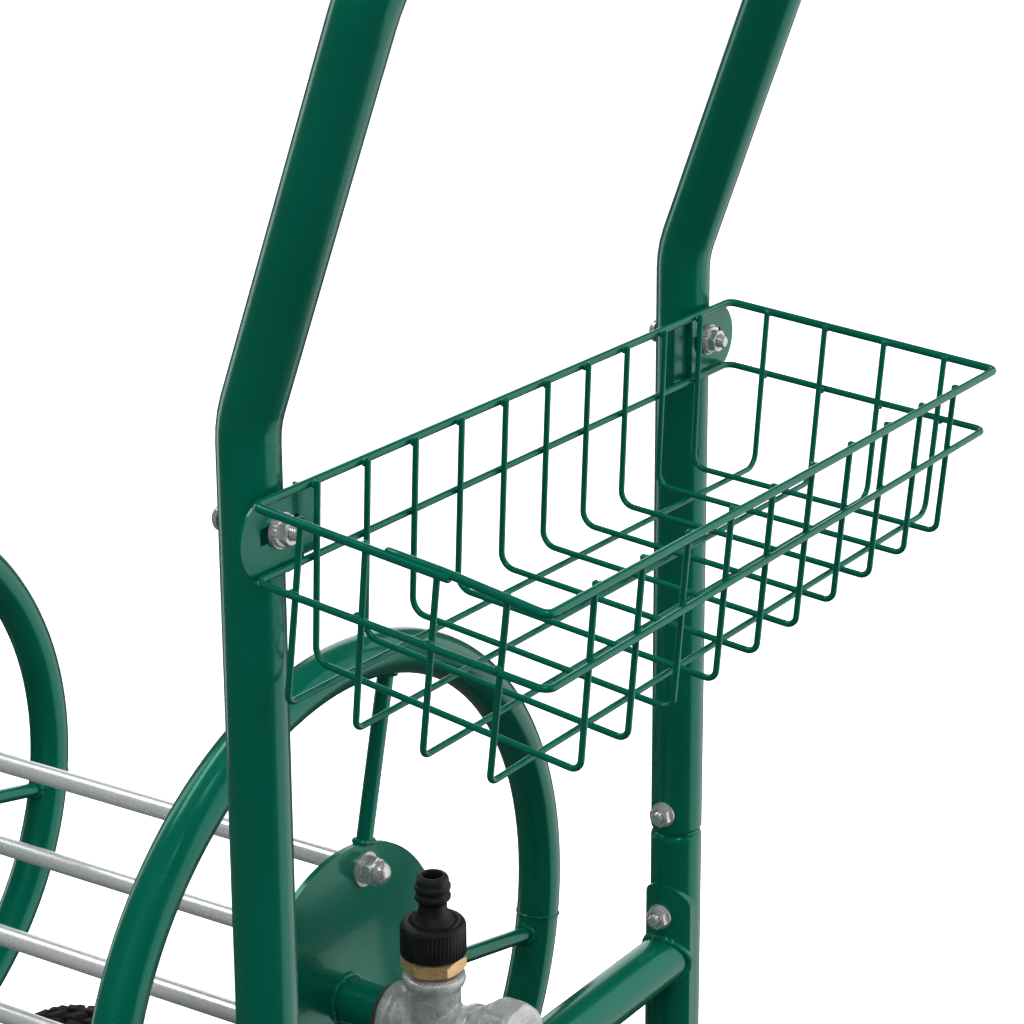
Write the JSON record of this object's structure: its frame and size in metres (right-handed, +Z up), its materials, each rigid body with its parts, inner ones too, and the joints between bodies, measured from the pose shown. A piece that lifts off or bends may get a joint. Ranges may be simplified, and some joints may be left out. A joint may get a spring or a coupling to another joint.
{
  "type": "garden hose reel cart",
  "caption": "Wheeled tube-frame cart with a crank-turned open hose drum, a push handle, a wire basket and a swivel water inlet.",
  "frame": {"origin": "on the floor, under the middle of the cart's bounding box", "axes": "+Z up; +X towards the operator, who stands at the handle, basket and inlet end; the drum turns about X and the axles lie along Y"},
  "size_m": [0.7706, 0.4718, 0.9938],
  "materials": {
    "green_frame": "powder coat, satin",
    "zinc_hardware": "bright zinc plate",
    "galvanised": "hot-dip galvanised, matt",
    "silver_rod": "drawn, zinc plated",
    "brass": "machined",
    "black_plastic": "moulded",
    "black_rubber": "matt",
    "tyre_rubber": "ribbed tread",
    "seal": "dark red thread seal",
    "grey_wheel": "moulded, satin",
    "axle_steel": "turned"
  },
  "bodies": {
    "frame": {"axle_brackets": "green_frame", "axle_spacers": "black_plastic", "axles": "axle_steel", "basket_bolts": "zinc_hardware", "basket_cross_wires": "green_frame", "basket_long_wires": "green_frame", "basket_nuts": "zinc_hardware", "basket_rim": "green_frame", "basket_ring": "green_frame", "basket_tabs": "green_frame", "basket_washers": "zinc_hardware", "bearing_bush": "black_plastic", "bearing_housing": "green_frame", "brass_bushing": "brass", "frame_bolts": "zinc_hardware", "frame_nuts": "zinc_hardware", "front_crossbar": "green_frame", "front_saddle_plates": "green_frame", "handle_grip": "black_rubber", "hose_adapter": "black_plastic", "hub_caps": "zinc_hardware", "inlet_gasket": "black_rubber", "inlet_tee": "galvanised", "post_caps": "black_plastic", "rear_crossbar": "green_frame", "rear_saddle_plates": "green_frame", "side_frame_left": "green_frame", "side_frame_right": "green_frame", "swivel_cradle": "green_frame", "swivel_nut": "zinc_hardware", "swivel_screw": "zinc_hardware", "thread_seal": "seal", "upper_handle": "green_frame", "wheel_washers": "zinc_hardware"},
    "reel": {"hub_pipe": "green_frame", "crank_shaft": "green_frame", "rear_ring": "green_frame", "front_ring": "green_frame", "rear_spokes": "green_frame", "front_spokes": "green_frame", "rear_disc": "green_frame", "front_disc": "green_frame", "tie_rods": "silver_rod", "rod_washers": "zinc_hardware", "dome_nuts": "zinc_hardware", "outlet_socket": "galvanised", "hose_tail": "brass", "crank_arm": "green_frame", "crank_set_screw": "zinc_hardware", "crank_pin": "zinc_hardware", "stop_collar": "zinc_hardware"},
    "crank_grip": {"crank_knob": "black_plastic"},
    "wheel_front_left": {"wheel_front_left": "grey_wheel", "tyre_front_left": "tyre_rubber"},
    "wheel_front_right": {"wheel_front_right": "grey_wheel", "tyre_front_right": "tyre_rubber"},
    "wheel_rear_left": {"wheel_rear_left": "grey_wheel", "tyre_rear_left": "tyre_rubber"},
    "wheel_rear_right": {"wheel_rear_right": "grey_wheel", "tyre_rear_right": "tyre_rubber"}
  },
  "joints": [
    {"name": "reel_spin", "type": "hinge", "parent": "frame", "child": "reel", "pos_m": [-0.2614, 0, 0.409], "axis": [1, 0, 0], "continuous": true},
    {"name": "crank_grip_spin", "type": "hinge", "parent": "reel", "child": "crank_grip", "pos_m": [-0.33, 0, 0.289], "axis": [1, 0, 0], "continuous": true},
    {"name": "wheel_front_left_spin", "type": "hinge", "parent": "frame", "child": "wheel_front_left", "pos_m": [-0.2094, -0.206, 0.1], "axis": [0, 1, 0], "continuous": true},
    {"name": "wheel_front_right_spin", "type": "hinge", "parent": "frame", "child": "wheel_front_right", "pos_m": [-0.2094, 0.206, 0.1], "axis": [0, 1, 0], "continuous": true},
    {"name": "wheel_rear_left_spin", "type": "hinge", "parent": "frame", "child": "wheel_rear_left", "pos_m": [0.2146, -0.206, 0.1], "axis": [0, 1, 0], "continuous": true},
    {"name": "wheel_rear_right_spin", "type": "hinge", "parent": "frame", "child": "wheel_rear_right", "pos_m": [0.2146, 0.206, 0.1], "axis": [0, 1, 0], "continuous": true}
  ]
}
